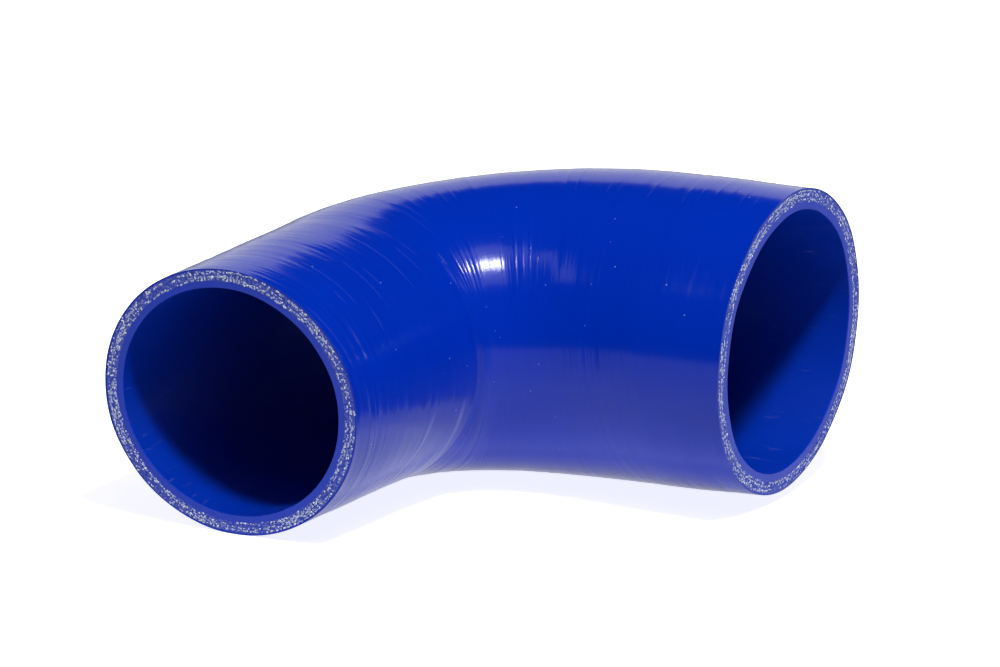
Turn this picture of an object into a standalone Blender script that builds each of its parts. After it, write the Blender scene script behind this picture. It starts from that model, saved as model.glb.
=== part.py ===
"""A silicone reducing elbow: a short hose that joins a small pipe to a larger one round a bend."""
import itertools
import math

import bmesh
import bpy
from mathutils import Matrix, Quaternion, Vector
from mathutils.geometry import interpolate_bezier

# Bores, inside diameters
SMALL_BORE = 0.060
LARGE_BORE = 0.0688

# Wall at the small cut and at the large cut, and what it gains along the body
SMALL_WALL = 0.0050
LARGE_WALL = 0.0055
BODY_SWELL = 0.00065

# Course of the middle line: the corner is where the lines of the two straight legs cross
BEND_ANGLE = math.radians(88.7)
SMALL_LEG = 0.1067
LARGE_LEG = 0.0998

# Where the bend leaves each leg, measured from the corner, and how far it pulls towards it
SMALL_BEND = 0.050
LARGE_BEND = 0.066
BEND_PULL = 0.57

# Stretches next to the cuts where the bore keeps its size, and where the wall swells
SMALL_CUFF = 0.035
LARGE_CUFF = 0.036
SMALL_SWELL_RUN = 0.040
LARGE_SWELL_RUN = 0.025

# How far each cut is out of square to its leg: in the plane of the bend, and upwards
SMALL_LEAN = (math.radians(6.0), math.radians(-3.6))
LARGE_LEAN = (math.radians(-0.4), math.radians(-3.5))

# The hose is made longer than its cuts and trimmed, and the core is longer again
TRIM_ALLOWANCE = 0.008
CORE_OVERRUN = 0.004
KNIFE_DEPTH = 0.030

# Fineness of the mesh
RING_SIDES = 56
STATIONS = 31
LEG_STEPS = 6
SMOOTH_ANGLE = math.radians(40)
WELD_DISTANCE = 0.00001

# Blue silicone with a smooth, shiny skin
SILICONE_COLOUR = (0.0, 0.024, 0.42, 1.0)
SILICONE_ROUGHNESS = 0.2


def clear_scene():
    """Removes the objects that a new Blender file opens with."""
    for old in list(bpy.data.objects):
        bpy.data.objects.remove(old, do_unlink=True)


def new_collection(name):
    """A collection in the scene for one kind of object."""
    collection = bpy.data.collections.new(name)
    bpy.context.scene.collection.children.link(collection)
    return collection


def silicone():
    """The one material of the hose."""
    material = bpy.data.materials.new("blue_silicone")
    material.use_nodes = True
    shader = material.node_tree.nodes["Principled BSDF"]
    shader.inputs["Base Color"].default_value = SILICONE_COLOUR
    shader.inputs["Roughness"].default_value = SILICONE_ROUGHNESS
    shader.inputs["Metallic"].default_value = 0.0
    return material


def leg_ways():
    """The ways from the small cut to the corner, and from the corner to the large cut."""
    turn = BEND_ANGLE - math.pi / 2
    return Vector((0.0, 1.0, 0.0)), Vector((math.cos(turn), -math.sin(turn), 0.0))


def middle_line():
    """Points from the small cut round the bend to the large cut, with the corner at the origin."""
    small_way, large_way = leg_ways()
    enter = -small_way * SMALL_BEND
    leave = large_way * LARGE_BEND
    left = 1.0 - BEND_PULL
    bend = interpolate_bezier(enter, enter * left, leave * left, leave, STATIONS)
    small_end = -small_way * SMALL_LEG
    large_end = large_way * LARGE_LEG
    small_leg = [small_end.lerp(enter, step / LEG_STEPS) for step in range(LEG_STEPS)]
    large_leg = [large_end.lerp(leave, step / LEG_STEPS) for step in reversed(range(LEG_STEPS))]
    return small_leg + bend + large_leg


def cut_face(way, lean):
    """The way that a cut faces, leant out of square to its leg."""
    sideways, upwards = lean
    turned = Matrix.Rotation(sideways, 3, "Z") @ way
    return turned * math.cos(upwards) + Vector((0.0, 0.0, math.sin(upwards)))


def distances(points):
    """How far along the line each point lies."""
    runs = [0.0]
    for before, after in zip(points, points[1:]):
        runs.append(runs[-1] + (after - before).length)
    return runs


def eased(share):
    """A share from 0 to 1 that starts and stops gently."""
    held = min(max(share, 0.0), 1.0)
    return held * held * (3.0 - 2.0 * held)


def radii(runs):
    """Bore radius and outside radius at each point of the line."""
    length = runs[-1]
    taper = length - SMALL_CUFF - LARGE_CUFF
    bores = []
    outsides = []
    for run in runs:
        grown = eased((run - SMALL_CUFF) / taper)
        held = eased(run / SMALL_SWELL_RUN) * eased((length - run) / LARGE_SWELL_RUN)
        bore = SMALL_BORE / 2 + (LARGE_BORE - SMALL_BORE) / 2 * grown
        wall = SMALL_WALL + (LARGE_WALL - SMALL_WALL) * grown + BODY_SWELL * held
        bores.append(bore)
        outsides.append(bore + wall)
    return bores, outsides


def lengthened(points, extra):
    """The line with its first and last points moved further out along the legs."""
    small_way, large_way = leg_ways()
    return [points[0] - small_way * extra] + points[1:-1] + [points[-1] + large_way * extra]


def swept(name, points, widths, collection):
    """A closed round bar along the points, with its own radius at each."""
    curve = bpy.data.curves.new(name, "CURVE")
    curve.dimensions = "3D"
    curve.bevel_depth = 1.0
    curve.bevel_resolution = (RING_SIDES - 4) // 2
    curve.use_fill_caps = True
    spline = curve.splines.new("POLY")
    spline.points.add(len(points) - 1)
    for point, place, width in zip(spline.points, points, widths):
        point.co = (*place, 1.0)
        point.radius = width
    guide = bpy.data.objects.new(name + "_line", curve)
    collection.objects.link(guide)
    depsgraph = bpy.context.evaluated_depsgraph_get()
    mesh = bpy.data.meshes.new_from_object(guide.evaluated_get(depsgraph))
    bpy.data.objects.remove(guide)
    shape = bmesh.new()
    shape.from_mesh(mesh)
    bmesh.ops.remove_doubles(shape, verts=shape.verts, dist=WELD_DISTANCE)
    bmesh.ops.recalc_face_normals(shape, faces=shape.faces)
    shape.to_mesh(mesh)
    shape.free()
    mesh.name = name
    mesh.shade_smooth()
    mesh.set_sharp_from_angle(angle=SMOOTH_ANGLE)
    solid = bpy.data.objects.new(name, mesh)
    collection.objects.link(solid)
    return solid


def crosses_above(trio, place):
    """Whether the triangle of the three points, seen from above, holds the place."""
    sides = []
    for start, end in zip(trio, trio[1:] + trio[:1]):
        sides.append((end.xy - start.xy).cross(place.xy - start.xy))
    return min(sides) >= 0.0 or max(sides) <= 0.0


def resting_turn(points, outsides):
    """The turn that lays the hose on the three places of its underside that carry it."""
    undersides = [point - Vector((0.0, 0.0, out)) for point, out in zip(points, outsides)]
    balance = sum(points, Vector()) / len(points)
    level = Vector((0.0, 0.0, 1.0))
    for trio in itertools.combinations(undersides, 3):
        if not crosses_above(trio, balance):
            continue
        normal = (trio[1] - trio[0]).cross(trio[2] - trio[0]).normalized()
        if normal.z < 0.0:
            normal.negate()
        heights = [(place - trio[0]).dot(normal) for place in undersides]
        if min(heights) > -WELD_DISTANCE:
            return normal.rotation_difference(level)
    return Quaternion()


def lay_down(hose, turn):
    """Turns the hose as it rests, with the middle of its underside's box at the origin."""
    depsgraph = bpy.context.evaluated_depsgraph_get()
    trimmed = hose.evaluated_get(depsgraph).to_mesh()
    corners = [turn @ vertex.co for vertex in trimmed.vertices]
    lows = [min(corner[axis] for corner in corners) for axis in range(3)]
    highs = [max(corner[axis] for corner in corners) for axis in range(3)]
    hose.rotation_mode = "QUATERNION"
    hose.rotation_quaternion = turn
    hose.location = (-(lows[0] + highs[0]) / 2, -(lows[1] + highs[1]) / 2, -lows[2])


def cut_away(hose, cutter, name):
    """Takes the cutter's shape out of the hose."""
    cutter.hide_render = True
    cutter.display_type = "WIRE"
    cutter.parent = hose
    cut = hose.modifiers.new(name, "BOOLEAN")
    cut.operation = "DIFFERENCE"
    cut.solver = "EXACT"
    cut.object = cutter


def knife(name, place, face, reach, collection):
    """A block whose inner side lies on a cut, and which takes off all beyond it."""
    block = bmesh.new()
    bmesh.ops.create_cube(block, size=1.0)
    size = Matrix.Diagonal((2.0 * reach, 2.0 * reach, KNIFE_DEPTH, 1.0))
    turn = face.to_track_quat("Z", "Y").to_matrix().to_4x4()
    middle = Matrix.Translation(place + face * KNIFE_DEPTH / 2)
    block.transform(middle @ turn @ size)
    mesh = bpy.data.meshes.new(name)
    block.to_mesh(mesh)
    block.free()
    blade = bpy.data.objects.new(name, mesh)
    collection.objects.link(blade)
    return blade


clear_scene()
parts = new_collection("silicone_elbow_hose")
cutters = new_collection("cutters")

line = middle_line()
small_face = cut_face(-leg_ways()[0], SMALL_LEAN)
large_face = cut_face(leg_ways()[1], LARGE_LEAN)
bore_radii, outside_radii = radii(distances(line))
elbow = swept("elbow_hose", lengthened(line, TRIM_ALLOWANCE), outside_radii, parts)
elbow.data.materials.append(silicone())
core = swept("bore_core", lengthened(line, TRIM_ALLOWANCE + CORE_OVERRUN), bore_radii, cutters)
cut_away(elbow, core, "bore")
knife_reach = max(outside_radii) + TRIM_ALLOWANCE
cut_away(elbow, knife("small_knife", line[0], small_face, knife_reach, cutters), "small_cut")
cut_away(elbow, knife("large_knife", line[-1], large_face, knife_reach, cutters), "large_cut")
lay_down(elbow, resting_turn(line, outside_radii))
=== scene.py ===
"""Looks for the silicone elbow hose: its liner, fabric plies, cover and cut ends, as laid up."""
import math

import bmesh
import bpy
import numpy as np
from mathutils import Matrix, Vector


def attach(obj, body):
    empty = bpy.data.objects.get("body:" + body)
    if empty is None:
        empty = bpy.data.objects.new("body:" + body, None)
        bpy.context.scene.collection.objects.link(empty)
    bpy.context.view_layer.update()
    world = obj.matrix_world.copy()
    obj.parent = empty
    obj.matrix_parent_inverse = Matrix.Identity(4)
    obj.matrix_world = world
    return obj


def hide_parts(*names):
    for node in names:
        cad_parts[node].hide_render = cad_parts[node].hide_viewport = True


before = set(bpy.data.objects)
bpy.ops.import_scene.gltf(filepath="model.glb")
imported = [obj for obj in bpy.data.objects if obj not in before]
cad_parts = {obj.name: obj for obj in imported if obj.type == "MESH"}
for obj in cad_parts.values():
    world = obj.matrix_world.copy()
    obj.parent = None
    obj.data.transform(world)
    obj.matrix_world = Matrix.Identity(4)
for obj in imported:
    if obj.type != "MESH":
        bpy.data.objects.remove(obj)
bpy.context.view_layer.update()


# Bore liner: the first layer laid on the mandrel, a plain band of silicone with no fabric
# in it. It carries the smooth bore from cut to cut, and shows as the inmost ring of each cut.

# The middle line runs straight from each cut, then bends round the corner of its two legs
SMALL_CUT = (-0.032199, -0.071963, 0.034948)
LARGE_CUT = (0.067388, 0.036876, 0.042669)
CORNER = (-0.032297, 0.034677, 0.038209)
SMALL_BEND = 0.050
LARGE_BEND = 0.066
BEND_PULL = 0.57
LINE_STEPS = 2000

# The ways that the two cuts face, a little out of square to the legs, and how far from a cut
# the rings lean with it
SMALL_FACE = (0.107627, -0.990201, -0.088983)
LARGE_FACE = (0.999712, 0.016892, -0.017054)
SKEW_RUN = 0.025

# Bore radii, and the stretches next to the cuts where the bore keeps its size
SMALL_BORE = 0.0300
LARGE_BORE = 0.0344
SMALL_CUFF = 0.035
LARGE_CUFF = 0.036

# Wall at the small cut and at the large cut, what it gains along the body, and the share
# of it that is liner
SMALL_WALL = 0.0050
LARGE_WALL = 0.0055
BODY_SWELL = 0.00065
SMALL_SWELL_RUN = 0.040
LARGE_SWELL_RUN = 0.025
LINER_SHARE = 0.34

# How far a hand-held knife strays from the plane of a cut
KNIFE_STRAY = 0.00009

# Fineness of the mesh: sides of a ring, rings of a face that shows and of one that doesn't,
# and the angle past which an edge stays sharp
LINER_SIDES = 160
LINER_RINGS = 150
HIDDEN_RINGS = 24
EDGE_ANGLE = math.radians(50)

# Silicone from the mandrel, its scuffs, and the paler face that a knife leaves, which runs
# from the cut to this far behind it
SILICONE_IOR = 1.41
LINER_DEEP = (0.0, 0.025, 0.36, 1.0)
LINER_PALE = (0.0, 0.031, 0.41, 1.0)
SCUFF_BLUE = (0.07, 0.09, 0.40, 1.0)
CUT_BLUE = (0.008, 0.042, 0.54, 1.0)
CUT_EDGE = (0.0001, 0.0005)


def eased(share):
    """Shares from 0 to 1 that start and stop gently."""
    held = np.clip(share, 0.0, 1.0)
    return held * held * (3.0 - 2.0 * held)


def course():
    """Closely set places along the middle line, how far each is from the small cut, and the
    way that is square to both legs."""
    start, corner, end = (np.array(place) for place in (SMALL_CUT, CORNER, LARGE_CUT))
    small_way = (corner - start) / np.linalg.norm(corner - start)
    large_way = (end - corner) / np.linalg.norm(end - corner)
    posts = [corner - small_way * SMALL_BEND, corner - small_way * SMALL_BEND * (1.0 - BEND_PULL),
             corner + large_way * LARGE_BEND * (1.0 - BEND_PULL), corner + large_way * LARGE_BEND]
    share = np.linspace(0.0, 1.0, LINE_STEPS + 1)[:, None]
    left = 1.0 - share
    bend = (left ** 3 * posts[0] + 3.0 * left ** 2 * share * posts[1]
            + 3.0 * left * share ** 2 * posts[2] + share ** 3 * posts[3])
    lead = start + (posts[0] - start) * share[:-1]
    tail = posts[3] + (end - posts[3]) * share[1:]
    places = np.concatenate([lead, bend, tail])
    steps = np.linalg.norm(np.diff(places, axis=0), axis=1)
    up = np.cross(large_way, small_way)
    return places, np.concatenate([[0.0], np.cumsum(steps)]), up / np.linalg.norm(up)


LINE, LINE_RUNS, LINE_UP = course()
LENGTH = LINE_RUNS[-1]


def along(runs):
    """Centres on the middle line, ways forward and ways to the inside of the bend."""
    slopes = np.gradient(LINE, LINE_RUNS, axis=0)
    centres = np.stack([np.interp(runs, LINE_RUNS, LINE[:, axis]) for axis in range(3)], axis=1)
    ways = np.stack([np.interp(runs, LINE_RUNS, slopes[:, axis]) for axis in range(3)], axis=1)
    ways /= np.linalg.norm(ways, axis=1)[:, None]
    return centres, ways, np.cross(ways, LINE_UP)


def grown(run):
    """How far the hose has grown from its small size to its large one, from 0 to 1."""
    return eased((run - SMALL_CUFF) / (LENGTH - SMALL_CUFF - LARGE_CUFF))


def bore_radius(run):
    """The bore's radius, which grows from the small cuff to the large one."""
    return SMALL_BORE + (LARGE_BORE - SMALL_BORE) * grown(run)


def wall(run):
    """The thickness of the whole wall."""
    held = eased(run / SMALL_SWELL_RUN) * eased((LENGTH - run) / LARGE_SWELL_RUN)
    return SMALL_WALL + (LARGE_WALL - SMALL_WALL) * grown(run) + BODY_SWELL * held


def hand_cut(angles, end):
    """How far the knife has strayed from the plane of a cut, at each angle round it."""
    start = 1.3 + 2.0 * end
    return KNIFE_STRAY * (np.cos(2.0 * angles + start) + np.cos(5.0 * angles - start)
                          + 0.6 * np.cos(11.0 * angles + 3.0 * start))


def pick(found):
    """Makes the objects the only ones selected, the last of them active."""
    bpy.ops.object.select_all(action="DESELECT")
    for piece in found:
        piece.select_set(True)
    bpy.context.view_layer.objects.active = found[-1]


def sleeve(rings, sides):
    """A plain sleeve of one radius, bevelled from a line through the rings' centres."""
    bpy.ops.object.select_all(action="DESELECT")
    bpy.ops.curve.primitive_bezier_circle_add(radius=SMALL_BORE)
    section = bpy.context.object
    section.data.resolution_u = sides // 4
    curve = bpy.data.curves.new("hose_line", "CURVE")
    curve.dimensions = "3D"
    curve.bevel_mode = "OBJECT"
    curve.bevel_object = section
    spline = curve.splines.new("POLY")
    spline.points.add(rings)
    for point, centre in zip(spline.points, along(np.linspace(0.0, LENGTH, rings + 1))[0]):
        point.co = (*centre, 1.0)
    guide = bpy.data.objects.new("hose_line", curve)
    bpy.context.collection.objects.link(guide)
    pick([guide])
    bpy.ops.object.convert(target="MESH")
    bpy.data.objects.remove(section)
    return guide


def lay_on(piece, rings, sides, radius):
    """Lays a sleeve's rings on the line at the given radius, slid along the legs at the ends
    so that they lie in the cuts, and marks where each point was before the bend."""
    mesh = piece.data
    places = np.empty(len(mesh.vertices) * 3)
    mesh.vertices.foreach_get("co", places)
    places = places.reshape(rings + 1, sides, 3)
    ring_runs = np.linspace(0.0, LENGTH, rings + 1)
    centres, ways, inward = along(ring_runs)
    spokes = places - centres[:, None, :]
    angles = np.arctan2(spokes @ LINE_UP, np.einsum("rsk,rk->rs", spokes, inward))
    runs = np.repeat(ring_runs[:, None], sides, axis=1)
    out = radius(runs, angles)
    flat = np.stack([runs, out * np.cos(angles), out * np.sin(angles)], axis=2)
    spoke = np.cos(angles)[..., None] * inward[:, None, :] + np.sin(angles)[..., None] * LINE_UP
    placed = centres[:, None, :] + out[..., None] * spoke
    for end, cut, face in ((0, SMALL_CUT, SMALL_FACE), (-1, LARGE_CUT, LARGE_FACE)):
        reach = ((np.array(cut) - placed[end]) @ face) / (ways[end] @ face)
        reach = reach + hand_cut(angles[end], end)
        near = eased(1.0 - np.abs(runs - runs[end]) / SKEW_RUN)
        placed += (near * reach)[..., None] * ways[end]
    mesh.vertices.foreach_set("co", placed.ravel())
    mark = mesh.attributes.new("unbent", "FLOAT_VECTOR", "POINT")
    mark.data.foreach_set("vector", flat.ravel())
    mesh.update()


def double_wall(name, sides, outer, inner):
    """A closed tube: an outer and an inner sleeve, each with its rings and its radius, joined
    by a face at each cut."""
    sheets = []
    for rings, radius in (outer, inner):
        sheet = sleeve(rings, sides)
        lay_on(sheet, rings, sides, radius)
        sheets.append(sheet)
    pick(sheets[::-1])
    bpy.ops.object.join()
    tube = bpy.context.object
    tube.name = tube.data.name = name
    inner_first = (outer[0] + 1) * sides
    ends = ((0, inner_first), (outer[0] * sides, inner_first + inner[0] * sides))
    shape = bmesh.new()
    shape.from_mesh(tube.data)
    shape.verts.ensure_lookup_table()
    for outer_start, inner_start in ends:
        for side in range(sides):
            after = (side + 1) % sides
            shape.faces.new([shape.verts[outer_start + side], shape.verts[outer_start + after],
                             shape.verts[inner_start + after], shape.verts[inner_start + side]])
    bmesh.ops.recalc_face_normals(shape, faces=shape.faces)
    shape.to_mesh(tube.data)
    shape.free()
    bpy.ops.object.shade_smooth_by_angle(angle=EDGE_ANGLE)
    return tube


class Nodes:
    """The shader nodes of one material, or of the room."""

    def __init__(self, tree):
        self.tree = tree

    def fill(self, node, values):
        """Links signals to a node's sockets, or sets the sockets' own values."""
        for socket, value in values.items():
            if isinstance(value, Signal):
                self.tree.links.new(value.output, node.inputs[socket])
            else:
                node.inputs[socket].default_value = value

    def add(self, kind, settings, values, output=0):
        """Adds a node with its settings, then its sockets' values or links."""
        node = self.tree.nodes.new(kind)
        for name, value in settings.items():
            setattr(node, name, value)
        self.fill(node, values)
        return Signal(self, node.outputs[output])

    def mark(self, name, output):
        """A mark that the piece's points carry."""
        return self.add("ShaderNodeAttribute", {"attribute_name": name}, {}, output)

    def ray(self, kind):
        """1 for the rays of one kind, and 0 for the others."""
        return self.add("ShaderNodeLightPath", {}, {}, kind)

    def mix(self, share, low, high):
        """A colour between two others."""
        return self.add("ShaderNodeMix", {"data_type": "RGBA"}, {0: share, 6: low, 7: high}, 2)

    def noise(self, place, scale, detail=2.0, roughness=0.5):
        """Soft random patches from 0 to 1, so many to the metre."""
        return self.add("ShaderNodeTexNoise", {}, {"Vector": place, "Scale": scale,
                                                   "Detail": detail, "Roughness": roughness})

    def bump(self, height, depth, strength):
        """A relief of the given depth, without a change of shape."""
        return self.add("ShaderNodeBump", {}, {"Height": height, "Distance": depth,
                                               "Strength": strength})


class Signal:
    """A number or a vector on its way between nodes."""

    def __init__(self, nodes, output):
        self.nodes = nodes
        self.output = output

    def math(self, operation, first, second=0.0):
        return self.nodes.add("ShaderNodeMath", {"operation": operation}, {0: first, 1: second})

    def __add__(self, other):
        return self.math("ADD", self, other)

    def __radd__(self, other):
        return self.math("ADD", other, self)

    def __sub__(self, other):
        return self.math("SUBTRACT", self, other)

    def __rsub__(self, other):
        return self.math("SUBTRACT", other, self)

    def __mul__(self, other):
        return self.math("MULTIPLY", self, other)

    def __rmul__(self, other):
        return self.math("MULTIPLY", other, self)

    def fract(self):
        return self.math("FRACT", self)

    def sine(self):
        return self.math("SINE", self)

    def size(self):
        return self.math("ABSOLUTE", self)

    def turn_from(self, other):
        """The angle whose sine goes with this number and whose cosine with the other."""
        return self.math("ARCTAN2", self, other)

    def part(self, axis):
        """One of a vector's three numbers."""
        return self.nodes.add("ShaderNodeSeparateXYZ", {}, {0: self}, axis)

    def length(self):
        """A vector's length."""
        return self.nodes.add("ShaderNodeVectorMath", {"operation": "LENGTH"}, {0: self}, 1)

    def scaled(self, factors):
        """The vector with each of its numbers scaled."""
        return self.nodes.add("ShaderNodeVectorMath", {"operation": "MULTIPLY"},
                              {0: self, 1: factors})

    def step(self, low, high):
        """0 below low and 1 above high, with a soft step between."""
        return self.nodes.add("ShaderNodeMapRange", {"interpolation_type": "SMOOTHSTEP"},
                              {"Value": self, "From Min": low, "From Max": high})


def finish(name):
    """A new material, with its nodes and its one shader."""
    material = bpy.data.materials.new(name)
    material.use_nodes = True
    nodes = Nodes(material.node_tree)
    return material, nodes, material.node_tree.nodes["Principled BSDF"]


def liner_finish():
    """Smooth silicone off the mandrel, with faint scuffs along the bore."""
    material, nodes, shader = finish("liner_blue_silicone")
    unbent = nodes.mark("unbent", "Vector")
    patches = nodes.noise(unbent.scaled((0.4, 1.0, 1.0)), 90.0, 3.0)
    scuffs = nodes.noise(unbent.scaled((0.12, 1.0, 1.0)), 900.0, 4.0, 0.6).step(0.62, 0.72)
    colour = nodes.mix(patches, LINER_DEEP, LINER_PALE)
    colour = nodes.mix(scuffs * 0.35, colour, SCUFF_BLUE)
    run = unbent.part(0)
    cut = 1.0 - run.step(*CUT_EDGE) * (LENGTH - run).step(*CUT_EDGE)
    nodes.fill(shader, {"Base Color": nodes.mix(cut, colour, CUT_BLUE),
                        "Roughness": 0.26 + patches * 0.12 + scuffs * 0.2,
                        "IOR": SILICONE_IOR,
                        "Normal": nodes.bump(patches * 0.6 + scuffs * 0.2, 0.0002, 0.4)})
    return material


def liner_outside(run, angle):
    return bore_radius(run) + wall(run) * LINER_SHARE


def liner_inside(run, angle):
    return bore_radius(run)


liner = double_wall("bore_liner", LINER_SIDES, (HIDDEN_RINGS, liner_outside),
                    (LINER_RINGS, liner_inside))
liner.data.materials.append(liner_finish())
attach(liner, "root")


# Fabric plies: layers of woven cloth soaked in silicone, wrapped over the liner. They show
# only on the two cuts, as a band of pale cut yarn ends in blue-violet silicone.
COVER_SHARE = 0.10
PLY_SIDES = 160
PLY_DEEP = (0.012, 0.045, 0.46, 1.0)
PLY_PALE = (0.12, 0.15, 0.58, 1.0)


def ply_finish():
    """Silicone darkened and greyed by the cloth in it."""
    material, nodes, shader = finish("fabric_in_silicone")
    weave = nodes.noise(nodes.mark("unbent", "Vector"), 1400.0, 3.0, 0.6)
    nodes.fill(shader, {"Base Color": nodes.mix(weave.step(0.40, 0.70), PLY_DEEP, PLY_PALE),
                        "Roughness": 0.6 + weave * 0.2,
                        "Normal": nodes.bump(weave, 0.0003, 0.6)})
    return material


def plies_outside(run, angle):
    return bore_radius(run) + wall(run) * (1.0 - COVER_SHARE)


plies = double_wall("fabric_plies", PLY_SIDES, (HIDDEN_RINGS, plies_outside),
                    (HIDDEN_RINGS, liner_outside))
plies.data.materials.append(ply_finish())
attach(plies, "root")


# Yarn ends: where the knife went through the cloth, its cream yarns end in small frayed
# tufts, just proud of the cut, in broken rows, with one row to each ply.

# Where in the wall each row lies, and how far apart its tufts stand and how large they are
YARN_ROWS = (0.41, 0.51, 0.62, 0.73, 0.83)
YARN_SPACING = 0.00050
YARN_LENGTH = 0.00036
YARN_WIDTH = 0.00025
YARN_RISE = 0.00010

# How far tufts stray along a row, in spacings, and how far a row and a tuft stray across it,
# in walls
ALONG_STRAY = 0.4
ROW_STRAY = 0.035
TUFT_STRAY = 0.026

# The share of tufts that show, and its waves round the cut
YARN_SHARE = 0.56
SHARE_WAVES = ((3.0, 0.22), (7.0, 0.22), (17.0, 0.20))

# How far tufts lean, and how they and their corners differ in size
TUFT_LEAN = 0.5
TUFT_SIZES = (0.55, 1.35)
CORNER_SIZES = (0.7, 1.3)

# Yarn soaked with silicone, half soaked and bare
SOAKED_YARN = (0.13, 0.17, 0.58, 1.0)
DAMP_YARN = (0.44, 0.50, 0.72, 1.0)
BARE_YARN = (0.72, 0.77, 0.80, 1.0)

yarn_draw = np.random.default_rng(5)


def yarn_places(end, cut, face, bore, thickness):
    """Places of the tufts on one cut, and their ways out from the middle of the bore."""
    centre, way, inward = (found[0] for found in along(np.array([LENGTH if end else 0.0])))
    places, spokes = [], []
    for row in YARN_ROWS:
        count = int(2.0 * math.pi * (bore + thickness * row) / YARN_SPACING)
        steps = np.arange(count) + yarn_draw.uniform(-ALONG_STRAY, ALONG_STRAY, count)
        angles = steps * 2.0 * math.pi / count
        starts = yarn_draw.uniform(0.0, 6.28, 4)
        shown = YARN_SHARE
        for (waves, depth), start in zip(SHARE_WAVES, starts):
            shown = shown + depth * np.cos(waves * angles + start)
        angles = angles[yarn_draw.uniform(0.0, 1.0, count) < shown]
        stray = (ROW_STRAY * np.cos(5.0 * angles + starts[3])
                 + yarn_draw.normal(0.0, TUFT_STRAY, len(angles)))
        radius = bore + thickness * (row + stray)
        spoke = np.cos(angles)[:, None] * inward + np.sin(angles)[:, None] * LINE_UP
        place = centre + radius[:, None] * spoke
        reach = ((np.array(cut) - place) @ face) / (way @ face) + hand_cut(angles, end)
        places.append(place + reach[:, None] * way)
        spokes.append(spoke)
    return np.concatenate(places), np.concatenate(spokes)


def yarn_ends():
    """All the tufts of both cuts, as one piece."""
    bpy.ops.object.select_all(action="DESELECT")
    bpy.ops.mesh.primitive_ico_sphere_add(subdivisions=1, radius=1.0)
    tuft = bpy.context.object
    pattern = np.array([vertex.co for vertex in tuft.data.vertices])
    faces = np.array([list(face.vertices) for face in tuft.data.polygons])
    points, sides, shades = [], [], []
    for end, cut, face, bore, thickness in (
            (0, SMALL_CUT, SMALL_FACE, SMALL_BORE, SMALL_WALL),
            (-1, LARGE_CUT, LARGE_FACE, LARGE_BORE, LARGE_WALL)):
        outward = np.array(face)
        for place, spoke in zip(*yarn_places(end, cut, face, bore, thickness)):
            across = spoke - outward * (spoke @ outward)
            across /= np.linalg.norm(across)
            lean = yarn_draw.normal(0.0, TUFT_LEAN)
            length_way = np.cross(outward, across) * math.cos(lean) + across * math.sin(lean)
            size = yarn_draw.uniform(*TUFT_SIZES, 3) * (YARN_LENGTH, YARN_WIDTH, YARN_RISE)
            rough = pattern * yarn_draw.uniform(*CORNER_SIZES, (len(pattern), 1)) * size
            axes = np.stack([length_way, np.cross(outward, length_way), outward])
            sides.append(faces + len(points) * len(pattern))
            points.append(place + rough @ axes)
            shades.append(np.full(len(pattern), yarn_draw.uniform()))
    mesh = bpy.data.meshes.new("yarn_ends")
    mesh.from_pydata(np.concatenate(points).tolist(), [], np.concatenate(sides).tolist())
    shade = mesh.attributes.new("shade", "FLOAT", "POINT")
    shade.data.foreach_set("value", np.concatenate(shades))
    bpy.data.objects.remove(tuft)
    ends = bpy.data.objects.new("yarn_ends", mesh)
    bpy.context.collection.objects.link(ends)
    pick([ends])
    bpy.ops.object.shade_smooth()
    return ends


def yarn_finish():
    """Cream polyester, from yarns soaked with blue silicone to bare ones."""
    material, nodes, shader = finish("cream_yarn")
    shade = nodes.mark("shade", "Fac")
    soaked = nodes.mix(shade.step(0.0, 0.6), SOAKED_YARN, DAMP_YARN)
    nodes.fill(shader, {"Base Color": nodes.mix(shade.step(0.6, 1.0), soaked, BARE_YARN),
                        "Roughness": 0.85 - shade * 0.15})
    return material


yarns = yarn_ends()
yarns.data.materials.append(yarn_finish())
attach(yarns, "root")


# Cover: the outermost skin of smooth, shiny blue silicone. It was cured under tightly wound
# tape, whose edges leave fine slanting steps and streaks all the way along the hose, and two
# wrinkles under the inside of the bend, with a painted highlight along each.
COVER_SIDES = 144
COVER_RINGS = 640

# The tape's pitch, how far it slants, and the turn round the hose at which it doesn't
TAPE_PITCH = 0.0034
TAPE_LEAN = 0.0022
LEAN_TURN = 1.0

# The seam between two turns of tape: its rise, its width in pitches, and how much of it is
# left where it is held, in patches so long and so many round the hose
SEAM_RISE = 0.000040
SEAM_WIDTH = 0.09
SEAM_HELD = 0.35
SEAM_PATCH = (0.006, 9)

# Streaks that the tape combs round the hose: how fine, how many round it, and how high
STREAKS = ((0.0011, 16, 0.000020), (0.0021, 11, 0.000040), (0.0048, 8, 0.000055))

# Where along the hose the streaks grow calmer, and by how much
CALM_PLACE = 0.095
CALM_RUN = 0.035
CALM_SHARE = 0.45

# Broad swells: how many waves, how long and how many round the hose at most, and how high
SWELL_WAVES = 12
SWELL_RUN = 0.045
SWELL_TURNS = 3
SWELL_RISE = 0.00006

# The fuller inside of the bend: its rise, its middle, and how far it reaches along the hose
# and round it
INSIDE_FULL = 0.0024
FULL_PLACE = 0.069
FULL_RUN = 0.022
FULL_TURN = 0.85

# Wrinkles: how far along the hose each lies, its slant and its rise, then how wide they are,
# where round the hose they lie, and where the painted highlight along them ends and how wide it
# is
WRINKLES = ((0.0382, 0.006, 0.00007), (0.0534, -0.002, 0.00005))
WRINKLE_RUN = 0.0006
WRINKLE_PLACE = -0.60
WRINKLE_TURN = 0.40
WRINKLE_HIGHLIGHT_END = (0.20, 0.42)
WRINKLE_HIGHLIGHT_WIDTH = 0.0013
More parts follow.
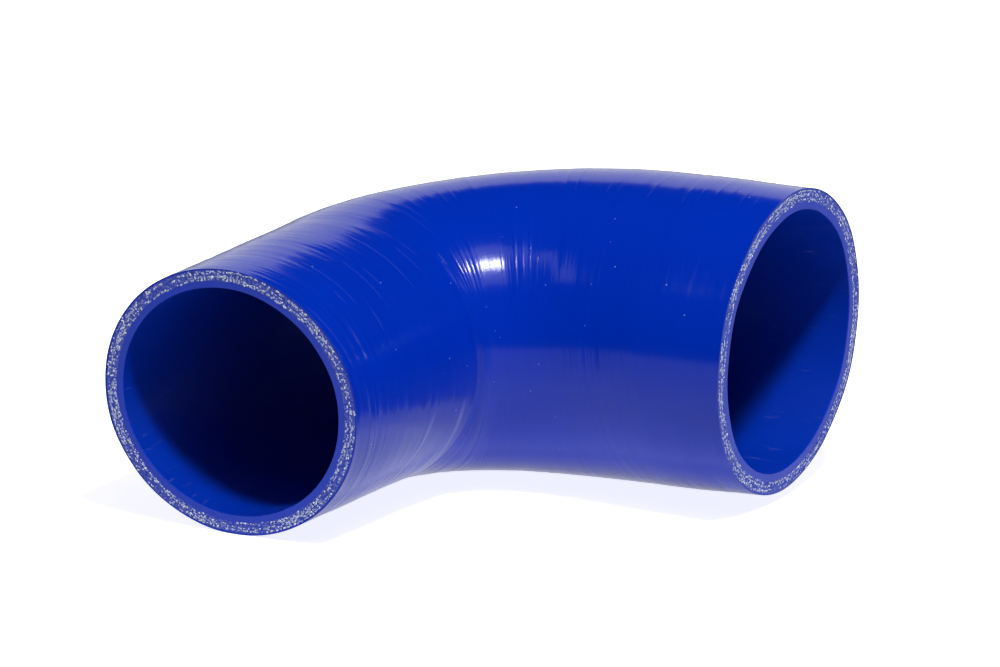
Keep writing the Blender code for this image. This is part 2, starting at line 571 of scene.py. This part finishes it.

# Silicone from under the tape, the painted highlight along its wrinkles, and dust on it: how
# fine, and how large
COVER_DEEP = (0.0, 0.024, 0.41, 1.0)
COVER_PALE = (0.0, 0.028, 0.47, 1.0)
# Paler colour along the wrinkles: a painted highlight, not the silicone's own colour
WRINKLE_PAINTED_HIGHLIGHT = (0.09, 0.12, 0.53, 1.0)
DUST_PALE = (0.45, 0.55, 0.75, 1.0)
DUST_FINENESS = 210.0
DUST_SIZE = (0.026, 0.040)

cover_draw = np.random.default_rng(11)


def swells(run, angle):
    """Soft unevenness, of waves along the hose and round it."""
    total = np.zeros_like(angle)
    for _ in range(SWELL_WAVES):
        wave = cover_draw.uniform(-1.0, 1.0) * 2.0 * math.pi / SWELL_RUN
        turns = cover_draw.integers(-SWELL_TURNS, SWELL_TURNS + 1)
        start = cover_draw.uniform(0.0, 2.0 * math.pi)
        total = total + np.cos(run * wave + turns * angle + start)
    return total * SWELL_RISE / math.sqrt(SWELL_WAVES)


def combed(run, angle, grain, around):
    """Random streaks of the given fineness that run round the hose, from -1 to 1."""
    rows = int(LENGTH / grain) + 8
    lattice = cover_draw.uniform(-1.0, 1.0, (rows, around))
    down = (run + TAPE_LEAN * np.sin(angle - LEAN_TURN)) / grain + 3.0
    turn = (angle / (2.0 * math.pi)) % 1.0 * around
    row, column = np.floor(down).astype(int), np.floor(turn).astype(int)
    down, turn = eased(down - row), eased(turn - column)
    after = (column + 1) % around
    column = column % around
    upper = lattice[row, column] * (1.0 - turn) + lattice[row, after] * turn
    lower = lattice[row + 1, column] * (1.0 - turn) + lattice[row + 1, after] * turn
    return upper * (1.0 - down) + lower * down


def cover_outside(run, angle):
    """The outside radius with the marks of the tape."""
    wraps = ((run + TAPE_LEAN * np.sin(angle - LEAN_TURN)) / TAPE_PITCH
             + angle / (2.0 * math.pi))
    tooth = wraps - np.floor(wraps)
    held = np.clip(SEAM_HELD + combed(run, angle, *SEAM_PATCH), 0.0, 1.0)
    seam = SEAM_RISE * np.exp(-((tooth - 0.5) / SEAM_WIDTH) ** 2) * held
    streaks = sum(combed(run, angle, grain, around) * rise for grain, around, rise in STREAKS)
    calm = 1.0 - CALM_SHARE * eased((run - CALM_PLACE) / CALM_RUN)
    inside = (angle + math.pi) % (2.0 * math.pi) - math.pi
    full = INSIDE_FULL * np.exp(-((run - FULL_PLACE) / FULL_RUN) ** 2 - (inside / FULL_TURN) ** 2)
    radius = bore_radius(run) + wall(run) + seam + streaks * calm + swells(run, angle) + full
    round_bend = inside - WRINKLE_PLACE
    for place, slant, rise in WRINKLES:
        off = run - place - slant * round_bend
        radius += rise * np.exp(-(off / WRINKLE_RUN) ** 2 - (round_bend / WRINKLE_TURN) ** 2)
    return radius


def cover_finish():
    """Glossy silicone with the tape's fine streaks, hairline ridges, a painted highlight along
    its wrinkles, and dust.
    """
    material, nodes, shader = finish("blue_silicone_cover")
    unbent = nodes.mark("unbent", "Vector")
    patches = nodes.noise(unbent, 60.0, 3.0)
    streaks = nodes.noise(unbent.scaled((1.0, 0.10, 0.10)), 1500.0, 3.0, 0.6)
    dust = 1.0 - nodes.add("ShaderNodeTexVoronoi", {}, {"Vector": unbent, "Scale": DUST_FINENESS},
                           "Distance").step(*DUST_SIZE)
    colour = nodes.mix(patches, COVER_DEEP, COVER_PALE)
    colour = nodes.mix(dust * 0.7, colour, DUST_PALE)
    run, angle = unbent.part(0), unbent.part(2).turn_from(unbent.part(1))
    # Painted highlight: a paler line along each wrinkle ridge, fading out round the hose
    round_bend = angle - WRINKLE_PLACE
    held = 1.0 - round_bend.size().step(*WRINKLE_HIGHLIGHT_END)
    for place, slant, _ in WRINKLES:
        off = (run - place - round_bend * slant).size()
        colour = nodes.mix((1.0 - off.step(0.0, WRINKLE_HIGHLIGHT_WIDTH)) * held, colour, WRINKLE_PAINTED_HIGHLIGHT)
    wraps = ((run + (angle - LEAN_TURN).sine() * TAPE_LEAN) * (1.0 / TAPE_PITCH)
             + angle * (0.5 / math.pi))
    off_seam = (wraps.fract() - 0.5).size()
    broken = nodes.noise(unbent.scaled((6.0, 1.0, 1.0)), 45.0, 2.0).step(0.50, 0.58)
    seams = (1.0 - off_seam.step(0.0, 0.030)) * broken
    nodes.fill(shader, {"Base Color": colour,
                        "Roughness": 0.09 + patches * 0.05 + streaks * 0.06 + dust * 0.4,
                        "IOR": SILICONE_IOR,
                        "Normal": nodes.bump(streaks * 0.35 + seams * 0.4, 0.00004, 1.0)})
    return material


cover = double_wall("outer_cover", COVER_SIDES, (COVER_RINGS, cover_outside),
                    (HIDDEN_RINGS, plies_outside))
cover.data.materials.append(cover_finish())
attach(cover, "root")
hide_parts("elbow_hose")


# Floor: the white table that the hose stands on, wider than the view. Its own light for the
# camera keeps it white round the hose's shadow. In reflections it is a pale sheet that ends
# in front of the hose, and is brightest right under it.
FLOOR_RADIUS = 1.5
SHEET_REACH = 0.36
SHEET_SOFTNESS = 0.05

# How far from the hose's middle the light under it ends, and the sheet's light falls off
UNDER_REACH = (0.03, 0.11)
FALL_REACH = (0.06, 0.30)

WHITE = (1.0, 1.0, 1.0, 1.0)
BLACK = (0.0, 0.0, 0.0, 1.0)
TABLE_WHITE = (0.88, 0.88, 0.88, 1.0)
SHEET_GREY = (0.36, 0.36, 0.36, 1.0)

# The light that the table sends to the camera
CAMERA_GLOW = 0.85

# The light that it throws up at the hose: all over the sheet, and more right under the hose
THROWN_SHEET = 0.15
THROWN_UNDER = 0.15

# The light that shows in reflections: on the sheet, less so much on the way out, and more
# right under the hose
MIRRORED_SHEET = 0.32
MIRRORED_FALL = 0.16
MIRRORED_UNDER = 0.32

bpy.ops.object.select_all(action="DESELECT")
bpy.ops.mesh.primitive_circle_add(vertices=64, radius=FLOOR_RADIUS, fill_type="NGON")
floor = bpy.context.object
floor.name = "floor"
floor_material, nodes, shader = finish("white_table")
seen, clear = nodes.ray("Is Camera Ray"), nodes.ray("Is Transmission Ray")
glossy = nodes.ray("Is Glossy Ray")
spot = nodes.add("ShaderNodeTexCoord", {}, {}, "Object")
on_sheet = spot.part(1).step(-SHEET_REACH, SHEET_SOFTNESS - SHEET_REACH)
under = 1.0 - spot.length().step(*UNDER_REACH)
thrown = on_sheet * THROWN_SHEET + under * THROWN_UNDER
mirrored = (on_sheet * (MIRRORED_SHEET - spot.length().step(*FALL_REACH) * MIRRORED_FALL)
            + under * MIRRORED_UNDER)
sheet = nodes.mix(on_sheet, BLACK, nodes.mix(glossy, TABLE_WHITE, SHEET_GREY))
nodes.fill(shader, {"Base Color": nodes.mix(seen, sheet, TABLE_WHITE),
                    "Roughness": 0.9,
                    "Specular IOR Level": 0.0,
                    "Emission Color": WHITE,
                    "Emission Strength": (seen + clear) * CAMERA_GLOW + glossy * mirrored
                    + (1.0 - seen - clear - glossy) * thrown})
floor.data.materials.append(floor_material)


# Flag: a tilted dome of black cloth over and before the hose. It keeps the room's white off
# the front, and leaves the white wall behind the hose in its reflections as far up as the
# real one shows it.
FLAG_RADIUS = 2.6
FLAG_RISE = math.radians(32.5)
FLAG_FOOT = (0.0, 0.0, 0.04)
CAMERA_PLACE = (0.68664, -1.16370, 0.40188)

bpy.ops.object.select_all(action="DESELECT")
bpy.ops.mesh.primitive_uv_sphere_add(segments=64, ring_count=32, radius=FLAG_RADIUS)
flag = bpy.context.object
flag.name = "flag"
backward = Vector((-CAMERA_PLACE[0], -CAMERA_PLACE[1], 0.0)).normalized()
slope = Vector((0.0, 0.0, math.cos(FLAG_RISE))) - math.sin(FLAG_RISE) * backward
bpy.ops.object.mode_set(mode="EDIT")
bpy.ops.mesh.select_all(action="SELECT")
bpy.ops.mesh.bisect(plane_co=FLAG_FOOT, plane_no=slope, clear_inner=True)
bpy.ops.mesh.select_all(action="SELECT")
bpy.ops.mesh.flip_normals()
bpy.ops.object.mode_set(mode="OBJECT")
flag_material, nodes, shader = finish("black_cloth")
nodes.fill(shader, {"Base Color": BLACK, "Specular IOR Level": 0.0})
flag.data.materials.append(flag_material)
flag.visible_camera = flag.visible_shadow = False
flag.visible_transmission = flag.visible_volume_scatter = False


# Studio light: a small lamp high on the camera's side, a strip round it that shows only in
# reflections, a wide soft halo, and a dim panel beside them. The room is evenly pale, and
# plain white to the camera.
LAMP_REACH = 1.2
AIM_HEIGHT = 0.05
KEY_WAY = (0.3600, -0.2870, 0.8877)
KEY_POWER = 13.2
KEY_SIZE = (0.16, 0.12)
STRIP_SIZE = (0.54, 0.14)
HALO_POWER = 2.4
HALO_SIZE = (0.95, 0.70)
PANEL_WAY = (-0.2230, -0.6100, 0.7600)
PANEL_POWER = 0.25
PANEL_SIZE = (0.16, 0.50)
ROOM_LEVEL = 0.84


def lamp(name, way, size, power):
    """A soft box that faces the hose."""
    bpy.ops.object.light_add(type="AREA")
    box = bpy.context.object
    box.name = name
    box.data.shape = "RECTANGLE"
    box.data.size, box.data.size_y = size
    box.data.energy = power
    away = Vector(way).normalized()
    box.location = away * LAMP_REACH + Vector((0.0, 0.0, AIM_HEIGHT))
    box.rotation_euler = away.to_track_quat("Z", "Y").to_euler()
    return box


strip = lamp("strip", KEY_WAY, STRIP_SIZE, KEY_POWER)
strip.visible_diffuse = False
key = lamp("key", KEY_WAY, KEY_SIZE, KEY_POWER)
key.visible_glossy = False
lamp("panel", PANEL_WAY, PANEL_SIZE, PANEL_POWER)
lamp("halo", KEY_WAY, HALO_SIZE, HALO_POWER)

room = bpy.data.worlds.new("room")
bpy.context.scene.world = room
room.use_nodes = True
nodes = Nodes(room.node_tree)
seen, clear = nodes.ray("Is Camera Ray"), nodes.ray("Is Transmission Ray")
nodes.fill(room.node_tree.nodes["Background"],
           {"Color": WHITE, "Strength": ROOM_LEVEL + (seen + clear) * (1.0 - ROOM_LEVEL)})


# Camera: at the photograph's place, looking down on the hose from in front of the small cut.
CAMERA_TURN = (75.0952, -1.3972, 30.8049)
CAMERA_LENS = 196.144
SENSOR_WIDTH = 36.0

bpy.ops.object.camera_add(location=CAMERA_PLACE,
                          rotation=[math.radians(angle) for angle in CAMERA_TURN])
camera = bpy.context.object
camera.data.lens = CAMERA_LENS
camera.data.sensor_width = SENSOR_WIDTH
bpy.context.scene.camera = camera
bpy.context.scene.view_settings.view_transform = "Standard"
